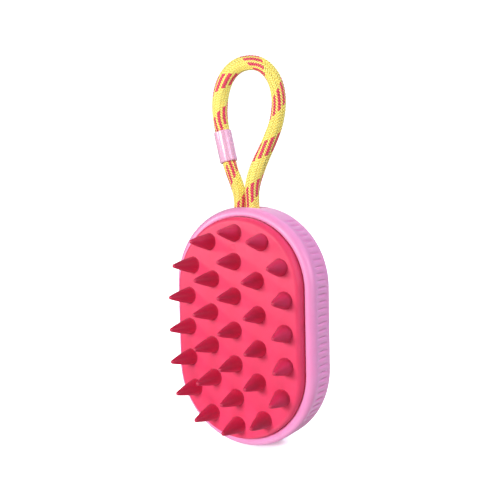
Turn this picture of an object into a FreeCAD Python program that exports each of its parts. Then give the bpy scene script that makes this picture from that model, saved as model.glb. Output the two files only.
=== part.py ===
import FreeCAD, Part
import math
import os

# Hand-held grooming brush on a rope lanyard.
# Origin: the inside of the lanyard's crown, where a hook carries it. +Z up, bristles face -Y,
# X across the brush. The lanyard's loop lies in the plane Y = 0.

# ---- driving dimensions, mm ----
BODY_HEIGHT = 120.0
BODY_WIDTH = 79.6
BODY_DEPTH = 21.6
BODY_CENTRE_Z = -127.0
BEAD_Y = -7.4                 # foremost line of the shell's rounded rim
RIM_WIDTH = 4.5               # shell wall, and the rim seen from the front
RIM_OUTER_RADIUS = 3.7
RIM_INNER_RADIUS = 0.6
BACK_EDGE_RADIUS = 5.0
BACK_WALL = 3.0
CUT_MARGIN = 1.0              # how far a cutting tool runs past what it cuts
ROOT_OVERLAP = 0.5            # how far a boss is sunk in the wall that it stands on
TOUCH = 0.01                  # room when edges are picked by where they lie
SHORT_EDGE = 1.0              # edges shorter than this are slivers, not part of an outline

PAD_GAP = 0.4                 # shadow gap between pad and rim
PAD_EDGE_RISE = 2.8           # pad face at its edge, in front of the bead
PAD_EDGE_RADIUS = 2.6
PAD_SKIN = 2.5
PAD_WALL = 1.6                # silicone beside the plate's edge
DOME_RADIUS_ACROSS = 358.0
DOME_RADIUS_ALONG = 709.0
DOME_RISE = 3.9
DOME_BLOCK_HALF_WIDTH = 48.0  # the working block that domed parts are cut from
DOME_BLOCK_DEPTH = 40.0
DOME_BLOCK_SWING = 6.0        # degrees each way along the dome's long arc

BRISTLE_BASE_RADIUS = 4.2
BRISTLE_TIP_RADIUS = 1.05
BRISTLE_HEIGHT = 14.5
SPLAY_RADIUS = 233.0          # the bristles fan out across as if they stood on this radius
BRISTLE_ROOT = 1.2            # how far a bristle runs on below the pad's face before it is trimmed
RINGS = ((27.3, 16), (13.4, 10))   # ring half-width and number of bristles, the first at the top
CENTRE_PITCH = 16.7

RIB_PITCH = 3.42
RIB_COUNT = 35                # grooves on each flank
RIB_CUTTER_RADIUS = 0.9
RIB_DEPTH = 0.35
RIB_FRONT_Y = -2.4
RIB_BACK_Y = 8.6

PLATE_THICKNESS = 2.0
PLATE_GAP = 0.1
PLATE_EDGE_BAND = 3.5
PLATE_BACK_Y = -5.85
PAD_LIP_BACK_Y = -4.1
PAD_LIP_REACH = 2.0

SCREW_PLACES = ((26.0, 0.0), (-26.0, 0.0), (18.0, 40.0), (-18.0, 40.0), (18.0, -40.0), (-18.0, -40.0))
BOSS_RADIUS = 3.4
BOSS_MEET_Y = -4.0            # plate towers meet the shell's bosses here
HEAD_RADIUS = 2.0
HEAD_HEIGHT = 1.4
HEAD_SEAT_Y = -6.4
SHANK_RADIUS = 1.1
SHANK_LENGTH = 9.0
PILOT_RADIUS = 0.95
PILOT_DEPTH = 9.0
SHANK_CLEARANCE = 0.15
HEAD_CLEARANCE = 0.3
POINT_LENGTH = 1.2
POINT_RADIUS = 0.3
CROSS_LENGTH = 2.6            # the screwdriver's cross in each head
CROSS_WIDTH = 0.6
CROSS_DEPTH = 0.7

CORD_DIAMETER = 7.0
STRAND_X = 3.55               # each strand's distance from the centre at the mouth
MOUTH_CLEARANCE = 0.4
MOUTH_DEPTH = 8.0             # the mouth's slot runs this far below the shell's top
MOUTH_TOOL_HEIGHT = 12.0
HINGE_Z = -63.0               # where the cord bends above the mouth
STUB_TOP_Z = -66.8

PIN_RADIUS = 2.0
PIN_Z = -79.5
PIN_FRONT_Y = -5.2
PIN_BACK_Y = 9.6
PIN_TURN_RADIUS = 5.6         # cord centre line round the pin
PIN_BOSS_RADIUS = 4.4
PIN_BOSS_GAP = 0.3
PIN_CLEARANCE = 0.05
FORK_Z = -71.5                # where the two strands turn from the mouth towards the pin

SLEEVE_RADIUS = 4.3
SLEEVE_LENGTH = 16.0
SLEEVE_EDGE_RADIUS = 0.7
CRIMP_RADIUS = 3.75
CRIMP_LENGTH = 11.0
CRIMP_WALL = 0.4
SLEEVE_RUN = 12               # number of the route's run that the sleeve sits on
ARC_SHARE = 0.45              # share of the shorter run that each bend's arc takes up

# The loop's route (x, z): up the right strand, over the crown, down through the sleeve.
LOOP_ROUTE = (
    (3.55, -63.0),
    (4.0, -56.6),
    (7.4, -47.2),
    (13.3, -36.6),
    (18.4, -26.2),
    (20.0, -14.5),
    (16.9, -3.8),
    (8.8, 3.4),
    (-2.0, 3.9),
    (-9.4, -0.7),
    (-13.4, -8.3),
    (-14.8, -17.4),
    (-13.8, -26.7),
    (-9.3, -46.5),
    (-5.6, -56.0),
    (-3.55, -63.0),
)

HALF_WIDTH = BODY_WIDTH / 2
END_CENTRE = BODY_HEIGHT / 2 - HALF_WIDTH
BACK_Y = BEAD_Y + BODY_DEPTH
OPENING_HALF_WIDTH = HALF_WIDTH - RIM_WIDTH
PAD_HALF_WIDTH = OPENING_HALF_WIDTH - PAD_GAP
PAD_EDGE_Y = BEAD_Y - PAD_EDGE_RISE
PAD_TOP_Y = PAD_EDGE_Y - DOME_RISE
POCKET_HALF_WIDTH = PAD_HALF_WIDTH - PAD_WALL
CORD_RADIUS = CORD_DIAMETER / 2
BACKWARD = FreeCAD.Vector(0, 1, 0)


def vec(x, y, z):
    return FreeCAD.Vector(x, y, z)


def stadium_face(half_width, y):
    """A flat stadium across Y at the given half width, its ends centred on the body's."""
    top = BODY_CENTRE_Z + END_CENTRE
    bottom = BODY_CENTRE_Z - END_CENTRE
    edges = [
        Part.LineSegment(vec(half_width, y, bottom), vec(half_width, y, top)).toShape(),
        Part.Arc(vec(half_width, y, top), vec(0, y, top + half_width), vec(-half_width, y, top)).toShape(),
        Part.LineSegment(vec(-half_width, y, top), vec(-half_width, y, bottom)).toShape(),
        Part.Arc(vec(-half_width, y, bottom), vec(0, y, bottom - half_width),
                 vec(half_width, y, bottom)).toShape(),
    ]
    return Part.Face(Part.Wire(edges))


def stadium_prism(half_width, front_y, back_y):
    return stadium_face(half_width, front_y).extrude(vec(0, back_y - front_y, 0))


def dome_block(face_y, back_y):
    """A big block behind a gently domed front, whose foremost point is at face_y."""
    half = DOME_BLOCK_HALF_WIDTH
    edge_y = face_y + DOME_RADIUS_ACROSS - math.sqrt(DOME_RADIUS_ACROSS ** 2 - half ** 2)
    rear_y = face_y + DOME_BLOCK_DEPTH
    crown = vec(0, face_y, BODY_CENTRE_Z)
    left = vec(-half, edge_y, BODY_CENTRE_Z)
    right = vec(half, edge_y, BODY_CENTRE_Z)
    edges = [
        Part.Arc(left, crown, right).toShape(),
        Part.LineSegment(right, vec(half, rear_y, BODY_CENTRE_Z)).toShape(),
        Part.LineSegment(vec(half, rear_y, BODY_CENTRE_Z), vec(-half, rear_y, BODY_CENTRE_Z)).toShape(),
        Part.LineSegment(vec(-half, rear_y, BODY_CENTRE_Z), left).toShape(),
    ]
    section = Part.Face(Part.Wire(edges))
    axis_point = vec(0, face_y + DOME_RADIUS_ALONG, BODY_CENTRE_Z)
    section.rotate(axis_point, vec(1, 0, 0), -DOME_BLOCK_SWING)
    block = section.revolve(axis_point, vec(1, 0, 0), 2 * DOME_BLOCK_SWING)
    room = 2 * BODY_HEIGHT
    corner = vec(-room / 2, face_y - CUT_MARGIN, BODY_CENTRE_Z - room / 2)
    return block.common(Part.makeBox(room, back_y - face_y + CUT_MARGIN, room, corner))


def domed_stadium(half_width, face_y, back_y):
    return dome_block(face_y, back_y).common(stadium_prism(half_width, face_y - CUT_MARGIN, back_y))


def dome_point(x, z):
    """The pad's surface point at (x, z), z counted from the body's centre, and its bristle's direction."""
    drop_along = DOME_RADIUS_ALONG - math.sqrt(DOME_RADIUS_ALONG ** 2 - z ** 2)
    drop_across = DOME_RADIUS_ACROSS - math.sqrt(DOME_RADIUS_ACROSS ** 2 - x ** 2)
    lean = vec(x / SPLAY_RADIUS, -1.0, z / DOME_RADIUS_ALONG)
    lean.normalize()
    return vec(x, PAD_TOP_Y + drop_along + drop_across, BODY_CENTRE_Z + z), lean


def stadium_station(half_width, distance):
    """The point (x, z) at a distance along a stadium outline, clockwise from the top."""
    arc = math.pi * half_width
    straight = 2 * END_CENTRE
    distance = (distance + arc / 2) % (2 * arc + 2 * straight)
    if distance < arc:
        angle = math.pi - distance / half_width
        return (half_width * math.cos(angle), END_CENTRE + half_width * math.sin(angle))
    distance -= arc
    if distance < straight:
        return (half_width, END_CENTRE - distance)
    distance -= straight
    if distance < arc:
        angle = -distance / half_width
        return (half_width * math.cos(angle), -END_CENTRE + half_width * math.sin(angle))
    return (-half_width, -END_CENTRE + distance - arc)


def bristle_places():
    places = [(0.0, k * CENTRE_PITCH) for k in (-1, 0, 1)]
    for half_width, count in RINGS:
        length = 2 * math.pi * half_width + 4 * END_CENTRE
        places.extend(stadium_station(half_width, length * k / count) for k in range(count))
    return places


def bristle(x, z):
    """A cone with a rounded tip, its root not yet trimmed to the pad."""
    foot, lean = dome_point(x, z)
    tip_height = BRISTLE_HEIGHT - BRISTLE_TIP_RADIUS
    half_angle = (math.atan2(BRISTLE_BASE_RADIUS, tip_height)
                  - math.asin(BRISTLE_TIP_RADIUS / math.hypot(BRISTLE_BASE_RADIUS, tip_height)))
    touch = vec(BRISTLE_TIP_RADIUS * math.cos(half_angle), 0,
                tip_height + BRISTLE_TIP_RADIUS * math.sin(half_angle))
    middle_angle = (half_angle + math.pi / 2) / 2
    middle = vec(BRISTLE_TIP_RADIUS * math.cos(middle_angle), 0,
                 tip_height + BRISTLE_TIP_RADIUS * math.sin(middle_angle))
    top = vec(0, 0, BRISTLE_HEIGHT)
    root = vec(0, 0, -BRISTLE_ROOT)
    root_edge = vec(BRISTLE_BASE_RADIUS + BRISTLE_ROOT * math.tan(half_angle), 0, -BRISTLE_ROOT)
    profile = Part.Wire([
        Part.LineSegment(root, root_edge).toShape(),
        Part.LineSegment(root_edge, touch).toShape(),
        Part.Arc(touch, middle, top).toShape(),
        Part.LineSegment(top, root).toShape(),
    ])
    spike = Part.Face(profile).revolve(vec(0, 0, 0), vec(0, 0, 1), 360)
    spike.Placement = FreeCAD.Placement(foot, FreeCAD.Rotation(vec(0, 0, 1), lean))
    return spike


def front_edges(solid, y_limit):
    """Edges of the front outline: those that reach no further back than y_limit."""
    return [edge for edge in solid.Edges if edge.BoundBox.YMax < y_limit and edge.Length > SHORT_EDGE]


def bristles():
    """The 29 silicone bristles, each standing on the pad's face."""
    face = dome_block(PAD_TOP_Y, PAD_EDGE_Y)
    return Part.makeCompound([bristle(x, z).cut(face) for x, z in bristle_places()])


def bristle_pad():
    """Silicone pad: the domed skin under the bristles, wrapped round the plate's edge."""
    block = domed_stadium(PAD_HALF_WIDTH, PAD_TOP_Y, PAD_LIP_BACK_Y)
    outline = front_edges(block, PAD_LIP_BACK_Y - CUT_MARGIN)
    block = block.makeFillet(PAD_EDGE_RADIUS, outline)
    pocket = domed_stadium(POCKET_HALF_WIDTH, PAD_TOP_Y + PAD_SKIN, PLATE_BACK_Y)
    mouth = stadium_prism(POCKET_HALF_WIDTH - PAD_LIP_REACH, PLATE_BACK_Y, PAD_LIP_BACK_Y)
    return block.cut(pocket).cut(mouth).removeSplitter()


def along_y(radius, front_y, back_y, x, z):
    return Part.makeCylinder(radius, back_y - front_y, vec(x, front_y, z), BACKWARD)


def backing_plate():
    """Rigid plate inside the pad, screwed to the shell's bosses; it also steadies the pin's front end."""
    half_width = POCKET_HALF_WIDTH - PLATE_GAP
    face_y = PAD_TOP_Y + PAD_SKIN + PLATE_GAP
    plate = domed_stadium(half_width, face_y, PLATE_BACK_Y)
    hollow = domed_stadium(half_width - PLATE_EDGE_BAND, face_y + PLATE_THICKNESS,
                           PLATE_BACK_Y + CUT_MARGIN)
    plate = plate.cut(hollow)
    solid_front = dome_block(face_y, BOSS_MEET_Y)
    for x, z in SCREW_PLACES:
        tower = along_y(BOSS_RADIUS, face_y - CUT_MARGIN, BOSS_MEET_Y, x, BODY_CENTRE_Z + z)
        plate = plate.fuse(tower.common(solid_front))
    pin_boss = along_y(PIN_BOSS_RADIUS, face_y - CUT_MARGIN, -CORD_RADIUS - PIN_BOSS_GAP, 0, PIN_Z)
    plate = plate.fuse(pin_boss.common(solid_front))
    for x, z in SCREW_PLACES:
        height = BODY_CENTRE_Z + z
        plate = plate.cut(along_y(SHANK_RADIUS + SHANK_CLEARANCE, face_y - CUT_MARGIN, 0, x, height))
        plate = plate.cut(along_y(HEAD_RADIUS + HEAD_CLEARANCE, face_y - CUT_MARGIN, HEAD_SEAT_Y, x, height))
    return plate.cut(along_y(PIN_RADIUS + PIN_CLEARANCE, PIN_FRONT_Y, 0, 0, PIN_Z)).removeSplitter()


def plate_screws():
    """Six cross-head screws that hold the plate to the shell's bosses."""
    screws = []
    front_y = HEAD_SEAT_Y - HEAD_HEIGHT
    point_y = HEAD_SEAT_Y + SHANK_LENGTH - POINT_LENGTH
    for x, z in SCREW_PLACES:
        height = BODY_CENTRE_Z + z
        screw = along_y(HEAD_RADIUS, front_y, HEAD_SEAT_Y, x, height)
        screw = screw.fuse(along_y(SHANK_RADIUS, HEAD_SEAT_Y, point_y, x, height))
        point = Part.makeCone(SHANK_RADIUS, POINT_RADIUS, POINT_LENGTH, vec(x, point_y, height), BACKWARD)
        screw = screw.fuse(point)
        for wide, tall in ((CROSS_WIDTH, CROSS_LENGTH), (CROSS_LENGTH, CROSS_WIDTH)):
            corner = vec(x - wide / 2, front_y, height - tall / 2)
            screw = screw.cut(Part.makeBox(wide, CROSS_DEPTH, tall, corner))
        screws.append(screw.removeSplitter())
    return Part.makeCompound(screws)


def mouth_slot():
    """The oblong hole in the top of the shell that both strands pass through."""
    reach = CORD_RADIUS + MOUTH_CLEARANCE
    bottom_z = BODY_CENTRE_Z + BODY_HEIGHT / 2 - MOUTH_DEPTH
    slot = Part.makeBox(2 * STRAND_X, 2 * reach, MOUTH_TOOL_HEIGHT, vec(-STRAND_X, -reach, bottom_z))
    for side in (-1, 1):
        slot = slot.fuse(Part.makeCylinder(reach, MOUTH_TOOL_HEIGHT, vec(side * STRAND_X, 0, bottom_z)))
    return slot.removeSplitter()


def rib_grooves():
    """Shallow front-to-back grooves along both flanks."""
    cutters = []
    distance = HALF_WIDTH + RIB_CUTTER_RADIUS - RIB_DEPTH
    for k in range(RIB_COUNT):
        along = (k - (RIB_COUNT - 1) / 2) * RIB_PITCH
        past = max(abs(along) - END_CENTRE, 0.0)
        angle = math.copysign(past / HALF_WIDTH, along)
        centre = math.copysign(min(abs(along), END_CENTRE), along)
        for side in (-1, 1):
            x = side * distance * math.cos(angle)
            z = BODY_CENTRE_Z + centre + distance * math.sin(angle)
            cutters.append(along_y(RIB_CUTTER_RADIUS, RIB_FRONT_Y, RIB_BACK_Y, x, z))
    return Part.makeCompound(cutters)


def body_shell():
    """Soft one-piece shell: rounded rim, ribbed flanks, flat back, bosses and the cord's mouth."""
    outer = stadium_prism(HALF_WIDTH, BEAD_Y, BACK_Y)
    outer = outer.makeFillet(BACK_EDGE_RADIUS, [e for e in outer.Edges if e.BoundBox.YMin > BACK_Y - TOUCH])
    outer = outer.makeFillet(RIM_OUTER_RADIUS, [e for e in outer.Edges if e.BoundBox.YMax < BEAD_Y + TOUCH])
    cavity = stadium_prism(OPENING_HALF_WIDTH, BEAD_Y, BACK_Y - BACK_WALL)
    shell = outer.cut(cavity)
    inner = [e for e in shell.Edges if e.BoundBox.YMax < BEAD_Y + TOUCH
             and e.BoundBox.XMax < OPENING_HALF_WIDTH + TOUCH and e.BoundBox.XMin > -OPENING_HALF_WIDTH - TOUCH]
    shell = shell.makeFillet(RIM_INNER_RADIUS, inner)
    floor_y = BACK_Y - BACK_WALL + ROOT_OVERLAP
    bosses = [along_y(BOSS_RADIUS, BOSS_MEET_Y, floor_y, x, BODY_CENTRE_Z + z) for x, z in SCREW_PLACES]
    bosses.append(along_y(PIN_BOSS_RADIUS, CORD_RADIUS + PIN_BOSS_GAP, floor_y, 0, PIN_Z))
    shell = shell.multiFuse(bosses)
    pilots = [along_y(PILOT_RADIUS, BOSS_MEET_Y - CUT_MARGIN, BOSS_MEET_Y + PILOT_DEPTH, x,
                      BODY_CENTRE_Z + z) for x, z in SCREW_PLACES]
    pilots.append(along_y(PIN_RADIUS, 0, PIN_BACK_Y, 0, PIN_Z))
    shell = shell.cut(Part.makeCompound(pilots))
    shell = shell.cut(mouth_slot())
    return shell.cut(rib_grooves()).removeSplitter()


def anchor_pin():
    """The pin that the cord turns round, pressed into the shell and steadied by the plate."""
    return along_y(PIN_RADIUS, PIN_FRONT_Y + PLATE_GAP, PIN_BACK_Y, 0, PIN_Z)


def tube_path(points):
    """Straight runs joined by tangent arcs, each as large as its two runs allow."""
    edges = []
    radii = []
    start = points[0]
    for before, corner, after in zip(points, points[1:], points[2:]):
        run_in = corner - before
        run_out = after - corner
        shorter = min(run_in.Length, run_out.Length)
        turn = run_in.getAngle(run_out)
        trim = ARC_SHARE * shorter
        radius = trim / math.tan(turn / 2)
        run_in.normalize()
        run_out.normalize()
        arc_start = corner - run_in * trim
        arc_end = corner + run_out * trim
        inward = run_out - run_in
        inward.normalize()
        middle = corner + inward * (math.hypot(radius, trim) - radius)
        edges.append(Part.LineSegment(start, arc_start).toShape())
        edges.append(Part.Arc(arc_start, middle, arc_end).toShape())
        radii.append(radius)
        start = arc_end
    edges.append(Part.LineSegment(start, points[-1]).toShape())
    return Part.Wire(edges), radii


def sweep(path, radius):
    first = path.Edges[0]
    start = first.Vertexes[0].Point
    direction = first.tangentAt(first.FirstParameter)
    ring = Part.Wire([Part.makeCircle(radius, start, direction)])
    return path.makePipeShell([ring], True, False)


def report_tube(name, tube, path, radius):
    expected = math.pi * radius ** 2 * path.Length
    print(name, "length", round(path.Length, 2), "volume", round(tube.Volume, 1),
          "section x length", round(expected, 1), "valid", tube.isValid())


def loop_cord():
    """The lanyard's free loop; its two lower ends are rounded about the bending axis."""
    points = [vec(x, 0, z) for x, z in LOOP_ROUTE]
    path, radii = tube_path(points)
    tube = sweep(path, CORD_RADIUS)
    report_tube("loop_cord", tube, path, CORD_RADIUS)
    print("loop radii", [round(radius, 1) for radius in radii])
    ends = [Part.makeSphere(CORD_RADIUS, vec(side * STRAND_X, 0, HINGE_Z)) for side in (-1, 1)]
    return tube.fuse(ends[0]).fuse(ends[1])


def cord_bight():
    """The cord's hidden turn: in through the mouth, round the pin and out again."""
    rise = FORK_Z - PIN_Z
    reach = math.hypot(STRAND_X, rise)
    touch_angle = math.pi / 2 - math.atan2(STRAND_X, rise) - math.acos(PIN_TURN_RADIUS / reach)
    touch_x = PIN_TURN_RADIUS * math.cos(touch_angle)
    touch_z = PIN_Z + PIN_TURN_RADIUS * math.sin(touch_angle)
    top = vec(STRAND_X, 0, STUB_TOP_Z)
    fork = vec(STRAND_X, 0, FORK_Z)
    touch = vec(touch_x, 0, touch_z)
    down, radii = tube_path([top, fork, touch])
    edges = list(down.Edges)
    edges.append(Part.Arc(touch, vec(0, 0, PIN_Z - PIN_TURN_RADIUS), vec(-touch_x, 0, touch_z)).toShape())
    up, _ = tube_path([vec(-touch_x, 0, touch_z), vec(-STRAND_X, 0, FORK_Z), vec(-STRAND_X, 0, STUB_TOP_Z)])
    edges.extend(up.Edges)
    path = Part.Wire(edges)
    tube = sweep(path, CORD_RADIUS)
    report_tube("cord_bight", tube, path, CORD_RADIUS)
    print("bight radii", [round(radius, 1) for radius in radii], PIN_TURN_RADIUS)
    return tube


def on_sleeve_run(radius, length):
    """A cylinder centred on the straight run of the route that the sleeve sits on."""
    first = vec(LOOP_ROUTE[SLEEVE_RUN][0], 0, LOOP_ROUTE[SLEEVE_RUN][1])
    last = vec(LOOP_ROUTE[SLEEVE_RUN + 1][0], 0, LOOP_ROUTE[SLEEVE_RUN + 1][1])
    axis = last - first
    axis.normalize()
    start = (first + last) * 0.5 - axis * (length / 2)
    return Part.makeCylinder(radius, length, start, axis)


def cord_sleeve():
    """Moulded sleeve over the cord's joined ends, hollow in the middle for the crimp."""
    sleeve = on_sleeve_run(SLEEVE_RADIUS, SLEEVE_LENGTH)
    sleeve = sleeve.makeFillet(SLEEVE_EDGE_RADIUS, [e for e in sleeve.Edges if len(e.Vertexes) == 1])
    sleeve = sleeve.cut(on_sleeve_run(CORD_RADIUS, SLEEVE_LENGTH))
    return sleeve.cut(on_sleeve_run(CRIMP_RADIUS, CRIMP_LENGTH))


def cord_crimp():
    """Metal band squeezed on the two ends inside the sleeve."""
    band = on_sleeve_run(CRIMP_RADIUS, CRIMP_LENGTH)
    return band.cut(on_sleeve_run(CRIMP_RADIUS - CRIMP_WALL, CRIMP_LENGTH))


def main():
    os.makedirs("parts", exist_ok=True)
    nodes = {
        "body_shell": body_shell,
        "bristle_pad": bristle_pad,
        "bristles": bristles,
        "backing_plate": backing_plate,
        "plate_screws": plate_screws,
        "anchor_pin": anchor_pin,
        "cord_bight": cord_bight,
        "loop_cord": loop_cord,
        "cord_sleeve": cord_sleeve,
        "cord_crimp": cord_crimp,
    }
    for name, make in nodes.items():
        shape = make()
        print(name, "solids", len(shape.Solids), "valid", shape.isValid(), "volume", round(shape.Volume, 1))
        shape.exportStep(os.path.join("parts", name + ".step"))


main()
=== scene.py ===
import math

import bpy
import numpy as np
from mathutils import Matrix, Vector


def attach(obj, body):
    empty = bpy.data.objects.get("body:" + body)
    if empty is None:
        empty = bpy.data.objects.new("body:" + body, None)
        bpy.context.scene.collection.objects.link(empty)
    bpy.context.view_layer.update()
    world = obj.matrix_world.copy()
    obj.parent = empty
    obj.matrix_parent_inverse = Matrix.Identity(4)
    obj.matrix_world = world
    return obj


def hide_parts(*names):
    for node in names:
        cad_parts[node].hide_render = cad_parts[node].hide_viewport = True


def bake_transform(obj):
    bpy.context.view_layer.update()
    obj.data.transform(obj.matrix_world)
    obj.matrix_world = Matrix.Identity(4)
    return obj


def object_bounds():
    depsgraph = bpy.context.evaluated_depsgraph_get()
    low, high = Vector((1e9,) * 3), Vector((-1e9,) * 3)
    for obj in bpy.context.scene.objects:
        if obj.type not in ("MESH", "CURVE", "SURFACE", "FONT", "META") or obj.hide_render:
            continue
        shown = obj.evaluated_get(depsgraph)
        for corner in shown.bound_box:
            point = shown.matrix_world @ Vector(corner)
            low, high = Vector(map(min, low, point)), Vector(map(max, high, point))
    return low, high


# Hand-held silicone bristle brush on a braided rope loop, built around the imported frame.
# Lengths are in millimetres unless a comment says otherwise; MM turns them into metres.
MM = 0.001

# ---- camera, light and stage ----
CAMERA_PLACE = (197.3, -325.0, -63.2)
CAMERA_AZIMUTH = 31.07        # degrees round from the front
CAMERA_DROP = 3.84            # degrees below the horizon
CAMERA_ROLL = -1.22
CAMERA_LENS = 54.67
CAMERA_SENSOR = 36.0
LIGHT_AIM = (0.0, 0.0, -0.11)   # metres: a little above the body's middle
STAGE_FLOOR_RADIUS = 4.0      # metres
STAGE_DOME_RADIUS = 4.1       # metres
FULL_GLOW = 1.3               # bright enough to show pure white
PAINTED_SHADOW_GLOW = 0.24            # the floor's glow under the brush, lowered to paint a shadow there on top of the real shade
PAINTED_SHADOW_CENTRE = (5.0, 7.0)     # the middle of the painted shadow under the brush, on the floor
PAINTED_SHADOW_REACH = (8.0, 24.0)     # how far from there the painted shadow starts to lighten, and how far out it ends

# ---- the brush's body: the CAD solids' own numbers, but for the rim, the grooves and the pad's edge ----
CENTRE_Z = -127.0
HALF_WIDTH = 39.8
END_CENTRE = 20.2             # the rounded ends' centres, above and below the middle
BEAD_Y = -7.4                 # the rim's front
BACK_Y = 14.2
RIM_OUTER_RADIUS = 3.7
RIM_INNER_RADIUS = 0.9
OPENING_HALF_WIDTH = 35.1
BACK_EDGE_RADIUS = 5.0
CAVITY_BACK_Y = 11.2
CAVITY_EDGE_RADIUS = 0.8
RIB_PITCH = 3.42
RIB_COUNT = 35                # grooves on each flank
RIB_DEPTH = 0.85
RIB_HALF_WIDTH = 1.0
RIB_START_Y = -3.0            # each groove runs from here
RIB_END_Y = 8.2               # to here
RIB_FADE_POWER = 0.8          # under 1, a groove reaches its depth sooner from either end
RIBBED_WIDTH = 0.8            # the grooves are cut where the profile is this near its full width
OUTLINE_STEP = 0.34           # between the shell's points round its outline
PAD_OUTLINE_STEP = 0.8

PAD_HALF_WIDTH = 35.0
PAD_TOP_Y = -14.1
PAD_EDGE_RADIUS = 2.6
PAD_BACK_Y = -4.1
PAD_BACK_CHAMFER = 0.4
DOME_RADIUS_ACROSS = 358.0    # the pad's front is a shallow dome
DOME_RADIUS_ALONG = 709.0

GATE_MARK = (-0.5, -12.9, -86.2)   # the faint ring that the moulding gate left on the pad
GATE_MARK_RADIUS = 1.4
GATE_MARK_WIDTH = 0.35

BRISTLE_BASE_RADIUS = 4.2
BRISTLE_TIP_RADIUS = 1.05
BRISTLE_HEIGHT = 14.5
BRISTLE_FOOT_RADIUS = 0.15
BRISTLE_BULGE = 0.2           # how far a bristle's side swells past a straight cone
SPLAY_RADIUS = 233.0          # the bristles fan out across as if they stood on this radius
RINGS = ((27.3, 16), (13.4, 10))   # half width and number of bristles
CENTRE_PITCH = 16.7           # between the middle row's bristles
BRISTLE_COLUMNS = 44
BRISTLE_SINK = 0.4            # how far a bristle's root goes into the pad

# ---- the rope ----
CORD_RADIUS = 3.5
STRAND_X = 3.55
MOUTH_CLEARANCE = 0.4         # between the strands and the mouth's wall
MOUTH_LIP = 0.9               # radius of the roll round the mouth
MOUTH_CUT_Z = (-74.0, -60.0)
ROPE_END_Z = -70.6            # the loop's two ends meet the hidden turn here, inside the wall
PIN_Z = -79.5
PIN_TURN_RADIUS = 5.6
SLEEVE_RUN = 12               # the sleeve lies on the run that starts at this point of the route
SLEEVE_RADIUS = 4.4
SLEEVE_LENGTH = 16.0
SLEEVE_EDGE_RADIUS = 0.7
SLEEVE_COLUMNS = 72

# The loop's route (x, y, z): up the right strand, over the crown, down through the sleeve.
LOOP_ROUTE = (
    (3.6, -0.5, -63.0),
    (4.0, -0.9, -56.6),
    (7.4, -0.6, -47.2),
    (13.3, 0.0, -36.6),
    (18.4, 0.0, -26.2),
    (20.0, 0.0, -14.5),
    (16.9, 0.0, -3.8),
    (8.8, 0.0, 3.4),
    (-2.0, 0.0, 3.9),
    (-9.4, 0.0, -0.7),
    (-13.4, 0.0, -8.3),
    (-14.8, 0.0, -17.4),
    (-13.8, 0.0, -26.7),
    (-9.3, 0.0, -46.5),
    (-5.6, 0.8, -56.0),
    (-3.4, 0.5, -63.0),
)

LOOP_ROWS = 640               # cross-sections of each yarn along the loop
TURN_ROWS = 150               # and along the hidden turn
YARNS_EACH_WAY = 16
LAY_LENGTH = 22.0             # a yarn goes once round the rope in this length
MARKED_YARNS = 7              # neighbours in the raised set that are red
YARN_CENTRE_RADIUS = 2.94     # from the rope's middle to the yarns', on average
YARN_WAVE = 0.18              # how far a yarn rises and dips as it goes over and under the others
YARN_LIFT = 0.07              # how far the raised set lies out, and the other set in
YARN_SQUARENESS = 0.15        # flattens the crests of that wave
YARN_HALF_WIDTH = 0.50
YARN_HALF_THICKNESS = 0.36
YARN_SECTION = (15.0, 58.0, 90.0, 122.0, 165.0, 270.0)   # degrees round a yarn; 90 faces out
CORE_RADIUS = 3.16
CORE_ROWS = 180
CORE_COLUMNS = 20
CORE_HEIGHT = 0.6             # the core's painted shade: its place in the weave, from 0, deepest, to 1, highest
TURN_SWELL = 0.98             # the hidden turn's rope is a little thinner than its plain radius
# Where the marked yarns' middle faces the front, along the loop.
MARK_PLACES = (10.9, 34.5, 57.6, 81.4, 102.6, 122.9, 149.4, 169.0)
MARK_SMOOTHING = 20           # rows each way over which the marks' turn is evened out


# ---------------------------------------------------------------- meshes
def grid_faces(rows, columns, first=0, wrap_rows=False):
    """Quads over a grid of points numbered row by row, closed across its columns."""
    row = np.arange(rows if wrap_rows else rows - 1)
    row, column = np.meshgrid(row, np.arange(columns), indexing="ij")
    next_row, next_column = (row + 1) % rows, (column + 1) % columns
    quads = [row * columns + column, row * columns + next_column,
             next_row * columns + next_column, next_row * columns + column]
    return (np.stack(quads, axis=-1).reshape(-1, 4) + first).tolist()


def mesh_object(name, points, faces, materials):
    """A smooth-shaded mesh object; points are in millimetres."""
    mesh = bpy.data.meshes.new(name)
    mesh.from_pydata((np.asarray(points, float).reshape(-1, 3) * MM).tolist(), [], faces)
    for material in materials:
        mesh.materials.append(material)
    mesh.polygons.foreach_set("use_smooth", [True] * len(mesh.polygons))
    mesh.update()
    piece = bpy.data.objects.new(name, mesh)
    bpy.context.scene.collection.objects.link(piece)
    return piece


def capped_grid(points):
    """Faces of a (rows, columns) grid of points closed across, with a cap at each end."""
    rows, columns = points.shape[:2]
    faces = grid_faces(rows, columns)
    faces.append(list(range(columns))[::-1])
    faces.append([(rows - 1) * columns + k for k in range(columns)])
    return faces


def arc(centre, radius, start, end, steps):
    """Points on an arc from start to end degrees."""
    angles = np.radians(np.linspace(start, end, steps))
    return [(centre[0] + radius * math.cos(a), centre[1] + radius * math.sin(a)) for a in angles]


def turned_profile(profile, columns):
    """Rings of points round Z, one for each (radius, height) of the profile."""
    angles = np.linspace(0, 2 * math.pi, columns, endpoint=False)
    return np.array([np.stack([r * np.cos(angles), r * np.sin(angles), np.full(columns, z)], axis=1)
                     for r, z in profile])


def rotation_to(direction):
    """The matrix that turns Z to a direction."""
    return np.array(direction.normalized().to_track_quat("Z", "Y").to_matrix())


def smoothstep(value, low, high):
    """0 up to low, 1 from high on, and a smooth rise between."""
    t = np.clip((value - low) / (high - low), 0.0, 1.0)
    return t * t * (3 - 2 * t)


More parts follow.
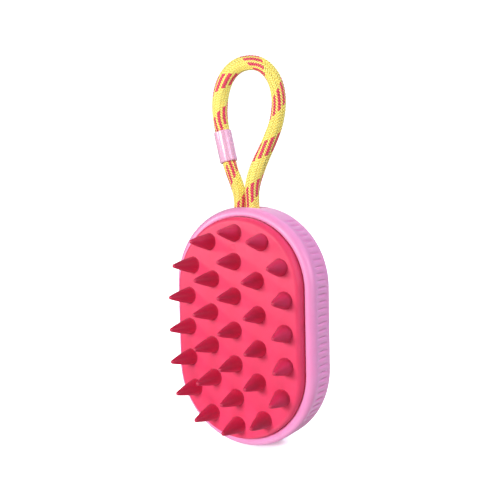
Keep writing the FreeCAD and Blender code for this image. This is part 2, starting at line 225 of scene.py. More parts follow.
# ---------------------------------------------------------------- materials
class Shader:
    """A material of nodes round one Principled shader."""

    def __init__(self, name):
        self.material = bpy.data.materials.new(name)
        self.material.use_nodes = True
        self.tree = self.material.node_tree
        self.surface = self.tree.nodes["Principled BSDF"]
        coordinates = self.tree.nodes.new("ShaderNodeTexCoord")
        self.place = coordinates.outputs["Object"]
        self.uv = coordinates.outputs["UV"]

    def put(self, node, sockets):
        """Sets sockets, by name or number, to plain values or to links."""
        for socket, value in sockets.items():
            if isinstance(value, bpy.types.NodeSocket):
                self.tree.links.new(value, node.inputs[socket])
            else:
                node.inputs[socket].default_value = value

    def add(self, kind, sockets, **settings):
        node = self.tree.nodes.new(kind)
        for key, value in settings.items():
            setattr(node, key, value)
        self.put(node, sockets)
        return node

    def noise(self, size, detail=3.0):
        """Noise whose features are about size millimetres across."""
        sockets = {"Vector": self.place, "Scale": 1.0 / (size * MM), "Detail": detail}
        return self.add("ShaderNodeTexNoise", sockets).outputs["Fac"]

    def ramp(self, value, low, high, low_value, high_value):
        """low_value up to low, high_value from high on, and a straight line between."""
        sockets = {"Value": value, "From Min": low, "From Max": high, "To Min": low_value,
                   "To Max": high_value}
        return self.add("ShaderNodeMapRange", sockets).outputs["Result"]

    def mix(self, share, first, second):
        """The colour first where share is 0, and second where it is 1."""
        node = self.add("ShaderNodeMix", {0: share, 6: first, 7: second}, data_type="RGBA")
        return node.outputs[2]

    def math(self, operation, *values):
        return self.add("ShaderNodeMath", dict(enumerate(values)), operation=operation).outputs["Value"]

    def distance(self, point):
        """How far the surface is from a point given in millimetres, in metres."""
        sockets = {0: self.place, 1: [value * MM for value in point]}
        return self.add("ShaderNodeVectorMath", sockets, operation="DISTANCE").outputs["Value"]

    def bump(self, height, depth, normal=None):
        """Bump of a 0 to 1 height that is depth millimetres deep."""
        sockets = {"Height": height, "Distance": depth * MM}
        if normal is not None:
            sockets["Normal"] = normal
        return self.add("ShaderNodeBump", sockets).outputs["Normal"]


def soft_shell_material():
    """Satin soft-touch plastic: pink, with faint mottling and a fine moulded grain."""
    s = Shader("soft_pink_shell")
    tone = s.ramp(s.noise(14.0), 0.35, 0.65, 0.0, 1.0)
    grain = s.noise(0.28, detail=2.0)
    wide = s.noise(2.2)
    s.put(s.surface, {
        "Base Color": s.mix(tone, (0.93, 0.300, 0.610, 1), (0.90, 0.325, 0.625, 1)),
        "Roughness": s.ramp(wide, 0.3, 0.7, 0.38, 0.46),
        "Specular IOR Level": 0.5,
        "Subsurface Weight": 0.12,
        "Subsurface Radius": (1.0, 0.5, 0.6),
        "Subsurface Scale": 0.0015,
        "Sheen Weight": 0.42,
        "Sheen Roughness": 0.5,
        "Sheen Tint": (0.92, 0.92, 1.0, 1),
        "Normal": s.bump(grain, 0.012, normal=s.bump(wide, 0.02)),
    })
    return s.material


def gate_ring(s):
    """1 on the gate mark's ring, falling to 0 beside it."""
    beside = s.math("ABSOLUTE", s.math("SUBTRACT", s.distance(GATE_MARK), GATE_MARK_RADIUS * MM))
    return s.ramp(beside, 0.0, GATE_MARK_WIDTH * MM, 1.0, 0.0)


def silicone_material(name, light, dark, roughness, sheen, gate_mark=False):
    """Matte silicone with a faint bloom."""
    s = Shader(name)
    tone = s.ramp(s.noise(9.0), 0.35, 0.65, 0.0, 1.0)
    grain = s.noise(0.35, detail=2.0)
    wide = s.noise(3.0)
    normal = s.bump(grain, 0.012, normal=s.bump(wide, 0.03))
    if gate_mark:
        normal = s.bump(gate_ring(s), 0.10, normal=normal)
    s.put(s.surface, {
        "Base Color": s.mix(tone, light, dark),
        "Roughness": s.ramp(wide, 0.3, 0.7, roughness - 0.05, roughness + 0.05),
        "Specular IOR Level": 0.4,
        "Subsurface Weight": 0.15,
        "Subsurface Radius": (1.0, 0.25, 0.25),
        "Subsurface Scale": 0.0018,
        "Sheen Weight": sheen,
        "Sheen Roughness": 0.5,
        "Sheen Tint": (1.0, 0.5, 0.7, 1),
        "Normal": normal,
    })
    return s.material


def yarn_material(name, light, dark):
    """Polyester yarn: fine filaments along its length, and painted shade that darkens it where a yarn dips
    under the others.
    """
    s = Shader(name)
    height = s.add("ShaderNodeAttribute", {}, attribute_name="weave_height").outputs["Fac"]
    uneven = s.ramp(s.noise(1.3), 0.3, 0.7, -0.1, 0.1)
    # painted shade: the colour goes from the dark to the light tone as the weave rises, standing in for the
    # shade in its dips
    tone = s.ramp(s.math("ADD", height, uneven), 0.40, 0.80, 0.0, 1.0)
    stretched = s.add("ShaderNodeMapping", {"Vector": s.uv, "Scale": (0.5, 14.0, 1.0)}).outputs["Vector"]
    filament = s.add("ShaderNodeTexNoise", {"Vector": stretched, "Scale": 1.0, "Detail": 2.0}).outputs["Fac"]
    s.put(s.surface, {
        "Base Color": s.mix(tone, dark, light),
        "Roughness": s.ramp(filament, 0.3, 0.7, 0.45, 0.65),
        "Specular IOR Level": 0.4,
        "Sheen Weight": 0.25,
        "Sheen Roughness": 0.4,
        "Normal": s.bump(filament, 0.012),
    })
    return s.material


def sleeve_material():
    """Pale pink soft plastic, glossier than the shell."""
    s = Shader("pale_pink_sleeve")
    tone = s.ramp(s.noise(6.0), 0.35, 0.65, 0.0, 1.0)
    wide = s.noise(1.6)
    s.put(s.surface, {
        "Base Color": s.mix(tone, (0.90, 0.47, 0.67, 1), (0.88, 0.50, 0.69, 1)),
        "Roughness": s.ramp(wide, 0.3, 0.7, 0.24, 0.32),
        "Subsurface Weight": 0.2,
        "Subsurface Radius": (1.0, 0.6, 0.7),
        "Subsurface Scale": 0.0015,
        "Coat Weight": 0.2,
        "Coat Roughness": 0.15,
        "Normal": s.bump(wide, 0.015),
    })
    return s.material


def inner_plastic_material():
    """Off-white moulded plastic of the hidden plate."""
    s = Shader("natural_plate_plastic")
    tone = s.ramp(s.noise(12.0), 0.3, 0.7, 0.0, 1.0)
    grain = s.noise(0.5)
    s.put(s.surface, {
        "Base Color": s.mix(tone, (0.66, 0.65, 0.61, 1), (0.60, 0.59, 0.56, 1)),
        "Roughness": s.ramp(grain, 0.3, 0.7, 0.5, 0.65),
        "Normal": s.bump(grain, 0.02),
    })
    return s.material


def metal_material(name, light, dark, roughness):
    """Bare metal with fine tool marks."""
    s = Shader(name)
    tone = s.ramp(s.noise(2.5), 0.3, 0.7, 0.0, 1.0)
    marks = s.noise(0.12, detail=4.0)
    s.put(s.surface, {
        "Base Color": s.mix(tone, light, dark),
        "Metallic": 1.0,
        "Roughness": s.ramp(marks, 0.3, 0.7, roughness - 0.06, roughness + 0.08),
        "Normal": s.bump(marks, 0.006),
    })
    return s.material


# ---------------------------------------------------------------- camera, light, stage
def make_camera():
    """The camera at the photograph's viewing angle."""
    data = bpy.data.cameras.new("camera")
    data.lens = CAMERA_LENS
    data.sensor_width = CAMERA_SENSOR
    data.clip_start = 0.01
    data.clip_end = 50.0
    camera = bpy.data.objects.new("camera", data)
    turn = (Matrix.Rotation(math.radians(CAMERA_AZIMUTH), 4, "Z")
            @ Matrix.Rotation(math.radians(90.0 - CAMERA_DROP), 4, "X")
            @ Matrix.Rotation(math.radians(CAMERA_ROLL), 4, "Z"))
    camera.matrix_world = Matrix.Translation(Vector(CAMERA_PLACE) * MM) @ turn
    bpy.context.scene.collection.objects.link(camera)
    bpy.context.scene.camera = camera


def area_light(name, place, power, size, colour, diffuse=True, glints=True):
    """A square soft box, in metres, aimed at the brush, for diffuse light, for glints or for both."""
    data = bpy.data.lights.new(name, "AREA")
    data.energy = power
    data.size = size
    data.color = colour
    light = bpy.data.objects.new(name, data)
    light.location = place
    light.visible_diffuse = diffuse
    light.visible_glossy = glints
    aim = Vector(LIGHT_AIM) - light.location
    light.rotation_mode = "QUATERNION"
    light.rotation_quaternion = aim.to_track_quat("-Z", "Y")
    bpy.context.scene.collection.objects.link(light)


def make_lights():
    """A soft front key and a cool light on the flank, glints from both sides, and the floor's bounce."""
    area_light("key", (-0.20, -1.35, 0.28), 16.4, 0.36, (1.0, 0.99, 0.97))
    area_light("side", (0.90, 0.72, 0.85), 19.0, 0.6, (0.80, 0.86, 1.0), glints=False)
    area_light("left_strip", (-1.00, -0.90, 0.30), 14.0, 0.25, (1.0, 0.96, 0.98), diffuse=False)
    area_light("right_glow", (1.30, -0.35, 0.35), 14.0, 0.7, (0.95, 0.72, 0.90), diffuse=False)
    area_light("table_bounce", (0.10, -0.35, -0.90), 3.5, 0.7, (1.0, 0.98, 0.98))
    world = bpy.data.worlds.new("studio")
    world.use_nodes = True
    background = world.node_tree.nodes["Background"]
    background.inputs["Color"].default_value = (0.97, 0.98, 1.0, 1)
    background.inputs["Strength"].default_value = 0.28
    bpy.context.scene.world = world


def glowing_white(name, glow_at_painted_shadow, diffuse):
    """Studio white: near the object its glow is lowered, a painted shadow over the soft real shade, and
    further off it glows pure white.
    """
    s = Shader(name)
    speckle = s.noise(30.0)
    white = s.mix(speckle, (diffuse, diffuse, diffuse, 1), (diffuse * 0.99, diffuse * 0.99, diffuse, 1))
    low, high = (reach * MM for reach in PAINTED_SHADOW_REACH)
    # painted shadow: the floor's glow is lowered near the brush, whatever light reaches it
    glow = s.ramp(s.distance((*PAINTED_SHADOW_CENTRE, 0.0)), low, high, glow_at_painted_shadow, FULL_GLOW)
    s.put(s.surface, {"Base Color": white, "Roughness": 0.9, "Specular IOR Level": 0.0,
                      "Emission Color": (1, 1, 1, 1), "Emission Strength": glow})
    return s.material


def make_stage(floor_z):
    """A white floor and a white dome round it; the table_bounce light stands for what they throw back."""
    middle = (0, 0, floor_z)
    bpy.ops.mesh.primitive_circle_add(vertices=96, radius=STAGE_FLOOR_RADIUS, fill_type="NGON",
                                      location=middle)
    floor = bpy.context.object
    floor.name = "studio_floor"
    floor.data.materials.append(glowing_white("floor_white", PAINTED_SHADOW_GLOW, 0.8))
    bpy.ops.mesh.primitive_uv_sphere_add(segments=64, ring_count=32, radius=STAGE_DOME_RADIUS,
                                         location=middle)
    dome = bpy.context.object
    dome.name = "studio_dome"
    dome.data.materials.append(glowing_white("dome_white", FULL_GLOW, 0.0))
    for stage in (floor, dome):
        stage.visible_diffuse = False
        stage.visible_glossy = False
        stage.visible_transmission = False
        stage.visible_shadow = False


# ---------------------------------------------------------------- the rope
def spline_line(points):
    """The points that a smooth NURBS spline with these control points runs through, in millimetres."""
    data = bpy.data.curves.new("route", "CURVE")
    data.dimensions = "3D"
    data.resolution_u = 24
    spline = data.splines.new("NURBS")
    spline.points.add(len(points) - 1)
    for point, place in zip(spline.points, points):
        point.co = (*(Vector(place) * MM), 1.0)
    spline.order_u = 3
    spline.use_endpoint_u = True
    holder = bpy.data.objects.new("route", data)
    mesh = bpy.data.meshes.new_from_object(holder)
    line = np.array([v.co for v in mesh.vertices], float) / MM
    bpy.data.objects.remove(holder)
    bpy.data.curves.remove(data)
    bpy.data.meshes.remove(mesh)
    return line


def unit(vectors):
    """Each row scaled to a length of 1."""
    return vectors / np.linalg.norm(vectors, axis=1, keepdims=True)


class Path:
    """A line resampled evenly: its points, the distance at each, and two directions square to it there."""

    def __init__(self, line, count):
        steps = np.linalg.norm(np.diff(line, axis=0), axis=1)
        along = np.concatenate([[0.0], np.cumsum(steps)])
        self.at = np.linspace(0.0, along[-1], count)
        self.points = np.stack([np.interp(self.at, along, line[:, k]) for k in range(3)], axis=1)
        tangent = unit(np.gradient(self.points, axis=0))
        self.first = unit(np.array([0.0, 1.0, 0.0]) - tangent[:, 1:2] * tangent)
        self.second = np.cross(tangent, self.first)

    def ring_points(self, angles, radii):
        """Points round the line: angles and radii are (count, columns)."""
        across = self.first[:, None] * np.cos(angles)[..., None]
        out = across + self.second[:, None] * np.sin(angles)[..., None]
        return self.points[:, None] + out * radii[..., None]


def front_angle(path):
    """The angle round the line that faces the camera's side, followed smoothly along it."""
    azimuth = math.radians(CAMERA_AZIMUTH)
    towards = np.array([math.sin(azimuth), -math.cos(azimuth), 0.0])
    return np.unwrap(np.arctan2(path.second @ towards, path.first @ towards))


def marked_angle(path):
    """Where the marked yarns' middle lies round the rope: at the front at each of its places."""
    places = [MARK_PLACES[0] - LAY_LENGTH, *MARK_PLACES, MARK_PLACES[-1] + LAY_LENGTH]
    turns = np.interp(path.at, places, np.arange(-1.0, len(MARK_PLACES) + 1))
    window = np.hanning(2 * MARK_SMOOTHING + 1)
    padded = np.pad(turns, MARK_SMOOTHING, mode="reflect", reflect_type="odd")
    smooth = np.convolve(padded, window / window.sum(), mode="valid")
    return smooth * 2 * math.pi + front_angle(path)


def yarn_points(path, angle, relative, over, swell):
    """A flat yarn's cross-sections along its own line, and how far up the weave each point lies, 0 to 1.
    angle is where the yarn lies round the rope, relative is its turn through the weave, over is 1 for the
    raised set and -1 for the other, and swell is how much fuller the rope is there."""
    phase = YARNS_EACH_WAY / 2 * relative
    wave = np.cos(phase) - YARN_SQUARENESS * np.cos(3 * phase)
    radius = (YARN_CENTRE_RADIUS + over * (YARN_WAVE * wave + YARN_LIFT)) * swell
    out = path.first * np.cos(angle)[:, None] + path.second * np.sin(angle)[:, None]
    centre = path.points + out * radius[:, None]
    along = unit(np.gradient(centre, axis=0))
    side = unit(np.cross(along, out))
    up = np.cross(side, along)
    section = np.radians(YARN_SECTION)
    fuller = swell[:, None, None]
    across = (YARN_HALF_WIDTH * np.cos(section))[None, :, None] * side[:, None] * fuller ** 2
    lift = (YARN_HALF_THICKNESS * np.sin(section))[None, :, None] * up[:, None] * fuller
    height = (0.5 + 0.5 * over * np.cos(phase))[:, None] * np.maximum(np.sin(section), 0.0)
    return centre[:, None] + across + lift, height


def mark_weave(piece, heights):
    """Stores how far up the weave each point lies, from which the yarns' material paints shade into the
    dips.
    """
    weave = piece.data.attributes.new("weave_height", "FLOAT", "POINT")
    weave.data.foreach_set("value", heights.astype(np.float32))


def yarn_bundle(name, bands, at, materials):
    """One mesh of many yarns, each a closed tube, with UVs that run along and across each yarn."""
    rows, columns = bands[0][1].shape
    faces = []
    for k in range(len(bands)):
        base = k * rows * columns
        faces += grid_faces(rows, columns, base)
        faces.append([base + c for c in range(columns)][::-1])
        faces.append([base + (rows - 1) * columns + c for c in range(columns)])
    points = np.concatenate([points.reshape(-1, 3) for points, _ in bands])
    piece = mesh_object(name, points, faces, materials)
    mark_weave(piece, np.concatenate([height.ravel() for _, height in bands]))
    row, column = np.meshgrid(np.arange(rows - 1), np.arange(columns), indexing="ij")
    u = np.stack([at[row], at[row], at[row + 1], at[row + 1]], axis=-1)
    v = np.stack([column, column + 1, column + 1, column], axis=-1) / columns
    quad = np.stack([u, v], axis=-1).reshape(-1)
    caps = np.zeros(2 * columns * 2)
    layer = piece.data.uv_layers.new(name="yarn")
    layer.data.foreach_set("uv", np.tile(np.concatenate([quad, caps]), len(bands)).astype(np.float32))
    return piece


def braided_rope(names, path, marked, swell, materials):
    """A braid of two sets of yarns: (main piece, marked yarns' piece). marked is where the marked yarns'
    middle lies round the rope."""
    lay = 2 * math.pi * path.at / LAY_LENGTH
    twist = marked - lay
    step = 2 * math.pi / YARNS_EACH_WAY
    plain, marks = [], []
    for k in range(YARNS_EACH_WAY):
        right = lay + (k - MARKED_YARNS // 2) * step
        band = yarn_points(path, twist + right, right, 1.0, swell)
        (marks if k < MARKED_YARNS else plain).append(band)
        left = -lay + (k - 0.5) * step
        plain.append(yarn_points(path, twist + left, left, -1.0, swell))
    main = yarn_bundle(names[0], plain, path.at, [materials[0]])
    marked_piece = yarn_bundle(names[1], marks, path.at, [materials[1]])
    return main, marked_piece


def core_tube(name, path, swell, material):
    """The core that shows, a little, between the yarns."""
    angles = np.tile(np.linspace(0, 2 * math.pi, CORE_COLUMNS, endpoint=False), (len(path.at), 1))
    points = path.ring_points(angles, CORE_RADIUS * np.broadcast_to(swell[:, None], angles.shape))
    core = mesh_object(name, points, capped_grid(points), [material])
    mark_weave(core, np.full(angles.size, CORE_HEIGHT))
    return core


def join(target, *others):
    """Others become part of target's mesh."""
    bpy.ops.object.select_all(action="DESELECT")
    for piece in (target, *others):
        piece.select_set(True)
    bpy.context.view_layer.objects.active = target
    bpy.ops.object.join()


def loop_swell(at):
    """How much fuller the rope is than its plain radius, at distances along the loop."""
    left_shoulder = 0.16 * np.exp(-((at - 108.0) / 19.0) ** 2)
    above_mouth = 0.09 * np.exp(-((at - 23.0) / 10.0) ** 2)
    right_strand = 0.04 * smoothstep(at, 5.0, 15.0) * (1 - smoothstep(at, 40.0, 50.0))
    below_sleeve = 0.03 * smoothstep(at, 138.0, 150.0)
    return 1.0 + left_shoulder + above_mouth + right_strand - below_sleeve


def make_loop(materials):
    """The visible loop: its rope, its marked yarns and the path that both follow."""
    ends = [(side * STRAND_X, 0.0, ROPE_END_Z) for side in (1, -1)]
    line = spline_line([ends[0], *LOOP_ROUTE, ends[1]])
    path = Path(line, LOOP_ROWS)
    swell = loop_swell(path.at)
    names = ("rope_loop", "rope_marker_yarns")
    rope, marks = braided_rope(names, path, marked_angle(path), swell, materials)
    core_path = Path(line, CORE_ROWS)
    core = core_tube("rope_core", core_path, np.interp(core_path.at, path.at, swell), materials[0])
    join(rope, core)
    for piece in (rope, marks):
        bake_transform(piece)
    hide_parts("loop_cord")
    return rope, marks, path


def make_turn(materials):
    """The rope's hidden turn round the pin."""
    low = PIN_Z - PIN_TURN_RADIUS
    route = [(STRAND_X, 0, ROPE_END_Z + 0.2), (STRAND_X + 1.2, 0, -75.4), (6.4, 0, PIN_Z),
             (5.6, 0, low + 1.0), (0, 0, low - 0.5)]
    route += [(-x, y, z) for x, y, z in route[-2::-1]]
    path = Path(spline_line(route), TURN_ROWS)
    swell = np.full(len(path.at), TURN_SWELL)
    marked = 2 * math.pi * path.at / LAY_LENGTH
    rope, marks = braided_rope(("rope_turn", "rope_turn_markers"), path, marked, swell, materials)
    core = core_tube("turn_core", path, swell, materials[0])
    join(rope, core, marks)
    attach(rope, "brush")
    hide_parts("cord_bight")


def make_sleeve():
    """The moulded sleeve over the rope's joined ends."""
    low = -SLEEVE_LENGTH / 2
    profile = [(CORD_RADIUS - 0.3, low / 2), (CORD_RADIUS - 0.1, low + 1.2)]
    profile += arc((CORD_RADIUS + 0.25, low + 0.35), 0.35, 180, 270, 5)
    profile += arc((SLEEVE_RADIUS - SLEEVE_EDGE_RADIUS, low + SLEEVE_EDGE_RADIUS), SLEEVE_EDGE_RADIUS,
                   270, 360, 9)
    profile += [(r, -z) for r, z in profile[::-1]]
    first, last = Vector(LOOP_ROUTE[SLEEVE_RUN]), Vector(LOOP_ROUTE[SLEEVE_RUN + 1])
    middle, turn = (first + last) / 2, rotation_to(last - first)
    points = turned_profile(profile, SLEEVE_COLUMNS) @ turn.T + np.array(middle)
    faces = grid_faces(len(profile), SLEEVE_COLUMNS, wrap_rows=True)
    sleeve = mesh_object("rope_sleeve", points, faces, [sleeve_material()])
    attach(sleeve, "lanyard")
    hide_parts("cord_sleeve")
    return sleeve


# ---------------------------------------------------------------- the body
class Outline:
    """Samples round the stadium outline, from the top clockwise: the centre that each is measured from,
    the direction out, and how far round from the flank's middle it lies."""

    def __init__(self, step):
        quarter = HALF_WIDTH * math.pi / 2
        total = 4 * (quarter + END_CENTRE)
        count = 4 * round(total / step / 4)
        along = np.arange(count) * total / count
        centre = np.zeros((count, 2))
        angle = np.zeros(count)
        self.from_middle = np.zeros(count)
        for k, distance in enumerate(along):
            side = 1 if distance < total / 2 else -1
            here = distance if side > 0 else total - distance
            from_middle = total / 4 - here
            past = max(abs(from_middle) - END_CENTRE, 0.0)
            turn = math.copysign(past / HALF_WIDTH, from_middle)
            centre[k, 1] = math.copysign(min(abs(from_middle), END_CENTRE), from_middle)
            angle[k] = turn if side > 0 else math.pi - turn
            self.from_middle[k] = from_middle
        self.centre = centre
        self.out = np.stack([np.cos(angle), np.sin(angle)], axis=1)

    def ring(self, half_width, y):
        """A ring of points at a half width and depth; both may be one number or one per sample."""
        flat = self.centre + self.out * np.reshape(half_width, (-1, 1))
        return np.stack([flat[:, 0], np.broadcast_to(y, flat.shape[:1]), flat[:, 1] + CENTRE_Z], axis=1)


def rib_shape(outline):
    """How deep the flank's grooves are at each sample, from 0 to 1."""
    place = outline.from_middle / RIB_PITCH
    nearest = np.round(place)
    inside = np.abs(nearest) <= (RIB_COUNT - 1) / 2
    away = np.clip(np.abs(place - nearest) * RIB_PITCH / RIB_HALF_WIDTH, 0, 1)
    return np.where(inside, 0.5 + 0.5 * np.cos(math.pi * away), 0.0)


def shell_profile():
    """(half width, y) from the middle of the cavity's floor, over the rim, to the middle of the back."""
    profile = [(h, CAVITY_BACK_Y) for h in (1.0, 12.0, 24.0, 33.0)]
    profile += arc((OPENING_HALF_WIDTH - CAVITY_EDGE_RADIUS, CAVITY_BACK_Y - CAVITY_EDGE_RADIUS),
                   CAVITY_EDGE_RADIUS, 90, 0, 4)
    profile += [(OPENING_HALF_WIDTH, y) for y in np.linspace(9.0, BEAD_Y + 1.4, 20)]
    profile += arc((OPENING_HALF_WIDTH + RIM_INNER_RADIUS, BEAD_Y + RIM_INNER_RADIUS),
                   RIM_INNER_RADIUS, 180, 270, 6)
    profile += arc((HALF_WIDTH - RIM_OUTER_RADIUS, BEAD_Y + RIM_OUTER_RADIUS),
                   RIM_OUTER_RADIUS, 270, 360, 14)
    flank_back = BACK_Y - BACK_EDGE_RADIUS
    profile += [(HALF_WIDTH, y) for y in np.linspace(BEAD_Y + RIM_OUTER_RADIUS, flank_back, 34)[1:-1]]
    profile += arc((HALF_WIDTH - BACK_EDGE_RADIUS, flank_back), BACK_EDGE_RADIUS, 0, 90, 16)
    profile += [(h, BACK_Y) for h in (32.0, 26.0, 18.0, 10.0, 4.0, 1.0)]
    return profile


def mouth_distance(points):
    """Distance from the mouth slot's wall, in millimetres; negative inside it."""
    away_x = np.maximum(np.abs(points[:, 0]) - STRAND_X, 0.0)
    return np.hypot(away_x, points[:, 1]) - (CORD_RADIUS + MOUTH_CLEARANCE)


def mouth_cutter():
    """A closed prism of the mouth's oblong shape."""
    radius = CORD_RADIUS + MOUTH_CLEARANCE
    outline = arc((STRAND_X, 0), radius, -90, 90, 33) + arc((-STRAND_X, 0), radius, 90, 270, 33)
    rings = np.array([[(x, y, z) for x, y in outline] for z in MOUTH_CUT_Z])
    return mesh_object("mouth_cutter", rings, capped_grid(rings), [])


def cut(piece, cutter):
    """Takes cutter's shape out of piece for good, and removes cutter."""
    modifier = piece.modifiers.new("cut", "BOOLEAN")
    modifier.operation = "DIFFERENCE"
    modifier.solver = "EXACT"
    modifier.object = cutter
    bpy.context.view_layer.objects.active = piece
    bpy.ops.object.modifier_apply(modifier=modifier.name)
    bpy.data.objects.remove(cutter)


def make_shell():
    """The one-piece shell: cavity, rim, ribbed flanks and back, with the mouth cut and rolled."""
    outline = Outline(OUTLINE_STEP)
    groove = rib_shape(outline)
    rings = []
    for half_width, y in shell_profile():
        share = np.clip((y - RIB_START_Y) / (RIB_END_Y - RIB_START_Y), 0, 1)
        fade = math.sin(math.pi * share) ** RIB_FADE_POWER
        depth = RIB_DEPTH * fade * groove if half_width > HALF_WIDTH - RIBBED_WIDTH else 0.0
        rings.append(outline.ring(half_width - depth, y))
    points = np.array(rings)
    shell = mesh_object("brush_shell", points, capped_grid(points), [soft_shell_material()])
    cut(shell, mouth_cutter())
    round_mouth(shell)
    shell.data.polygons.foreach_set("use_smooth", [True] * len(shell.data.polygons))
    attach(shell, "brush")
    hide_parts("body_shell")


def round_mouth(shell):
    """Rolls the shell's top over into the mouth."""
    count = len(shell.data.vertices)
    points = np.zeros(count * 3)
    shell.data.vertices.foreach_get("co", points)
    points = points.reshape(-1, 3) / MM
    top = CENTRE_Z + END_CENTRE + np.sqrt(np.maximum(HALF_WIDTH ** 2 - points[:, 0] ** 2, 0))
    on_top = points[:, 2] > top - 0.5
    away = np.clip(mouth_distance(points), 0, MOUTH_LIP)
    drop = MOUTH_LIP - np.sqrt(MOUTH_LIP ** 2 - (MOUTH_LIP - away) ** 2)
    points[:, 2] -= np.where(on_top, drop, 0.0)
    shell.data.vertices.foreach_set("co", (points * MM).ravel())
    shell.data.update()


def dome_y(x, z):
    """The pad face's depth at x and at z from the body's middle."""
    drop = DOME_RADIUS_ACROSS - np.sqrt(DOME_RADIUS_ACROSS ** 2 - x ** 2)
    return PAD_TOP_Y + drop + DOME_RADIUS_ALONG - np.sqrt(DOME_RADIUS_ALONG ** 2 - z ** 2)


def make_pad():
    """The domed pad with its rolled edge."""
    outline = Outline(PAD_OUTLINE_STEP)
    flat_edge = PAD_HALF_WIDTH - PAD_EDGE_RADIUS
    widths = list(np.linspace(1.0, flat_edge, 26))
    widths += [flat_edge + PAD_EDGE_RADIUS * math.sin(a) for a in np.radians(np.linspace(0, 90, 19)[1:])]
    rings = [outline.ring(1.0, PAD_BACK_Y), outline.ring(PAD_HALF_WIDTH - PAD_BACK_CHAMFER, PAD_BACK_Y),
             outline.ring(PAD_HALF_WIDTH, PAD_BACK_Y - PAD_BACK_CHAMFER)]
    for half_width in widths[::-1]:
        flat = outline.centre + outline.out * half_width
        over = max(half_width - flat_edge, 0.0)
        roll = PAD_EDGE_RADIUS - math.sqrt(max(PAD_EDGE_RADIUS ** 2 - over ** 2, 0.0))
        rings.append(outline.ring(half_width, dome_y(flat[:, 0], flat[:, 1]) + roll))
    points = np.array(rings)
    material = silicone_material("red_silicone_pad", (0.89, 0.044, 0.146, 1), (0.85, 0.039, 0.134, 1),
                                 0.55, 0.15, gate_mark=True)
    pad = mesh_object("silicone_pad", points, capped_grid(points), [material])
    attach(pad, "brush")
    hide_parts("bristle_pad")


def stadium_station(half_width, distance):
    """The point (x, z) at a distance along a stadium outline, clockwise from the top."""
    bend, straight = math.pi * half_width, 2 * END_CENTRE
    distance = (distance + bend / 2) % (2 * bend + 2 * straight)
    if distance < bend:
        angle = math.pi - distance / half_width
        return half_width * math.cos(angle), END_CENTRE + half_width * math.sin(angle)
    distance -= bend
    if distance < straight:
        return half_width, END_CENTRE - distance
    distance -= straight
    if distance < bend:
        angle = -distance / half_width
        return half_width * math.cos(angle), -END_CENTRE + half_width * math.sin(angle)
    return -half_width, -END_CENTRE + distance - bend


def bristle_places():
    """(x, z from the body's middle) of each bristle: the middle row, then each ring."""
    places = [(0.0, k * CENTRE_PITCH) for k in (-1, 0, 1)]
    for half_width, count in RINGS:
        length = 2 * math.pi * half_width + 4 * END_CENTRE
        places += [stadium_station(half_width, length * k / count) for k in range(count)]
    return places


def bristle_profile():
    """(radius, height) of one bristle: sunk root, rolled foot, faintly swollen side, round tip."""
    tip_height = BRISTLE_HEIGHT - BRISTLE_TIP_RADIUS
    lean = (math.atan2(BRISTLE_BASE_RADIUS, tip_height)
            - math.asin(BRISTLE_TIP_RADIUS / math.hypot(BRISTLE_BASE_RADIUS, tip_height)))
    foot = BRISTLE_FOOT_RADIUS
    slope = math.tan(lean)
    foot_x = BRISTLE_BASE_RADIUS - foot * slope + foot / math.cos(lean)
    root_x = foot_x + 0.05
    lean_degrees = math.degrees(lean)
    profile = [(root_x, -BRISTLE_SINK), (root_x, -0.02)]
    profile += arc((foot_x, foot), foot, 270, 180 + lean_degrees, 6)
    low = profile[-1]
    tip = arc((0, tip_height), BRISTLE_TIP_RADIUS, lean_degrees, 84, 8)
    for t in np.linspace(0, 1, 10)[1:-1]:
        bulge = BRISTLE_BULGE * math.sin(math.pi * t)
        profile.append((low[0] + (tip[0][0] - low[0]) * t + bulge, low[1] + (tip[0][1] - low[1]) * t))
    return profile + tip


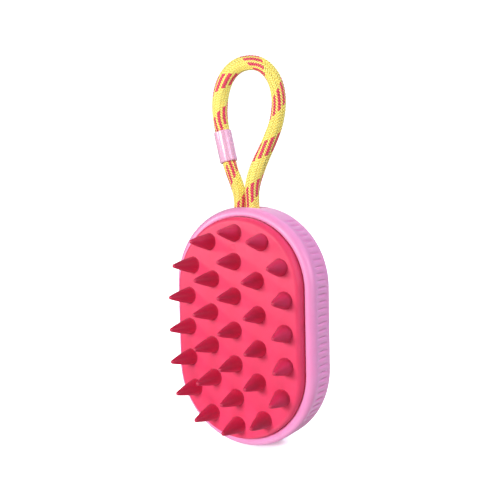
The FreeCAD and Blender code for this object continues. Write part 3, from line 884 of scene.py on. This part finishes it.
def make_bristles():
    """All the bristles, each turned from one profile and fanned out over the dome."""
    local = turned_profile(bristle_profile(), BRISTLE_COLUMNS)
    points, faces = [], []
    for x, z in bristle_places():
        turn = rotation_to(Vector((x / SPLAY_RADIUS, -1.0, z / DOME_RADIUS_ALONG)))
        foot = np.array([x, dome_y(x, z), CENTRE_Z + z])
        base = len(points) * local.shape[0] * BRISTLE_COLUMNS
        points.append(local @ turn.T + foot)
        faces += [[i + base for i in face] for face in capped_grid(local)]
    # painted shade: the bristles are the pad's own silicone, given a darker red for the dimmer light on
    # their steep sides
    material = silicone_material("bristle_silicone_painted_darker", (0.62, 0.014, 0.080, 1), (0.58, 0.013, 0.072, 1),
                                 0.50, 0.08)
    bristles = mesh_object("silicone_bristles", np.array(points), faces, [material])
    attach(bristles, "brush")
    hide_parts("bristles")


def dress_inner_parts(nodes):
    """Materials for the CAD nodes that stay as they are."""
    steel = metal_material("zinc_steel", (0.66, 0.67, 0.69, 1), (0.58, 0.59, 0.61, 1), 0.34)
    pin = metal_material("polished_pin", (0.70, 0.71, 0.73, 1), (0.64, 0.65, 0.67, 1), 0.22)
    crimp = metal_material("satin_aluminium", (0.74, 0.75, 0.77, 1), (0.68, 0.69, 0.71, 1), 0.40)
    finishes = {"backing_plate": inner_plastic_material(), "plate_screws": steel, "anchor_pin": pin,
                "cord_crimp": crimp}
    for name, material in finishes.items():
        slots = nodes[name].data.materials
        slots.clear()
        slots.append(material)


# ---------------------------------------------------------------- the scene
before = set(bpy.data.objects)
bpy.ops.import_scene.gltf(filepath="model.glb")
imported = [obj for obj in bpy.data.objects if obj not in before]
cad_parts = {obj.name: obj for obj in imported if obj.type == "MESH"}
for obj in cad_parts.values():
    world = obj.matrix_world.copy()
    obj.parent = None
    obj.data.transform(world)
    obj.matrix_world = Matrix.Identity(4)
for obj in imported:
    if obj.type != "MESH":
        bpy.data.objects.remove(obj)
cad_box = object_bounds()
bpy.context.scene.view_settings.view_transform = "Standard"
make_camera()
make_lights()
make_stage(cad_box[0].z)

# each yarn's second, darker colour is painted shade for the dips of the weave
yellow = yarn_material("yellow_yarn", (1.0, 0.93, 0.23, 1), (0.92, 0.63, 0.07, 1))
red = yarn_material("red_yarn", (0.88, 0.055, 0.14, 1), (0.62, 0.03, 0.08, 1))
rope, marks, rope_path = make_loop((yellow, red))
make_turn((yellow, red))
sleeve = make_sleeve()

make_shell()
make_pad()
make_bristles()
dress_inner_parts(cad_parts)
